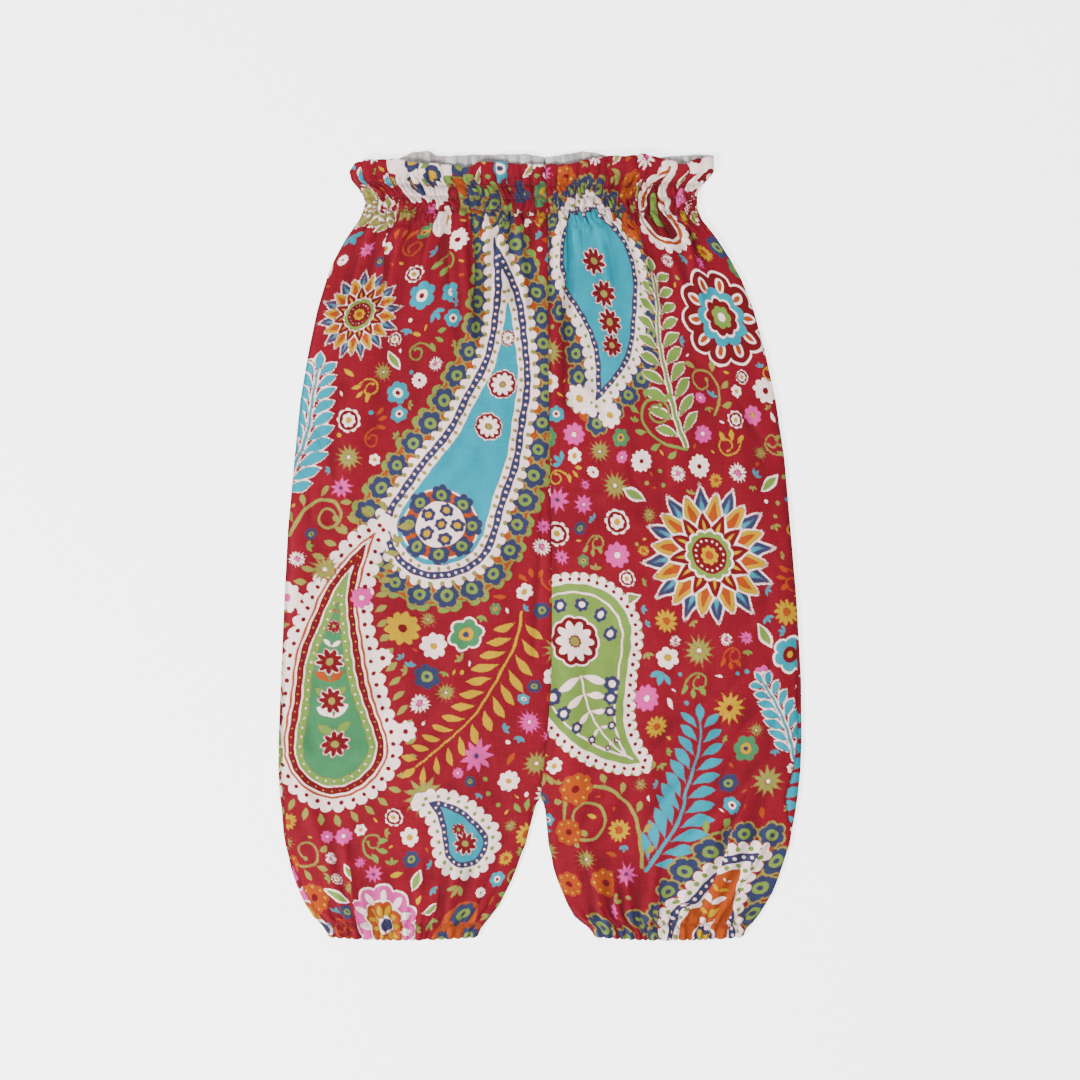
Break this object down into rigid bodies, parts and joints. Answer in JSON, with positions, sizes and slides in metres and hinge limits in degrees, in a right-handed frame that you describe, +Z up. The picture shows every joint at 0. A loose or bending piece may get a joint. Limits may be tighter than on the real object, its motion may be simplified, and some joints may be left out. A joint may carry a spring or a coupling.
{
  "type": "harem pants",
  "caption": "Toddler's loose harem pants of printed cotton lying flat, with a shirred frill waist and gathered ankles.",
  "frame": {"origin": "centre of the underside's bounding rectangle, on the surface the pants lie on", "axes": "+Y along the length from the ankles towards the waist, +X towards the wearer's left leg, +Z up from the surface"},
  "size_m": [0.3132, 0.4728, 0.0075],
  "materials": {
    "printed_cotton": "matt plain weave printed in colours on a red ground"
  },
  "bodies": {
    "root": {"front_right_leg_panel": "printed_cotton", "front_left_leg_panel": "printed_cotton", "back_right_leg_panel": "printed_cotton", "back_left_leg_panel": "printed_cotton"}
  },
  "joints": []
}
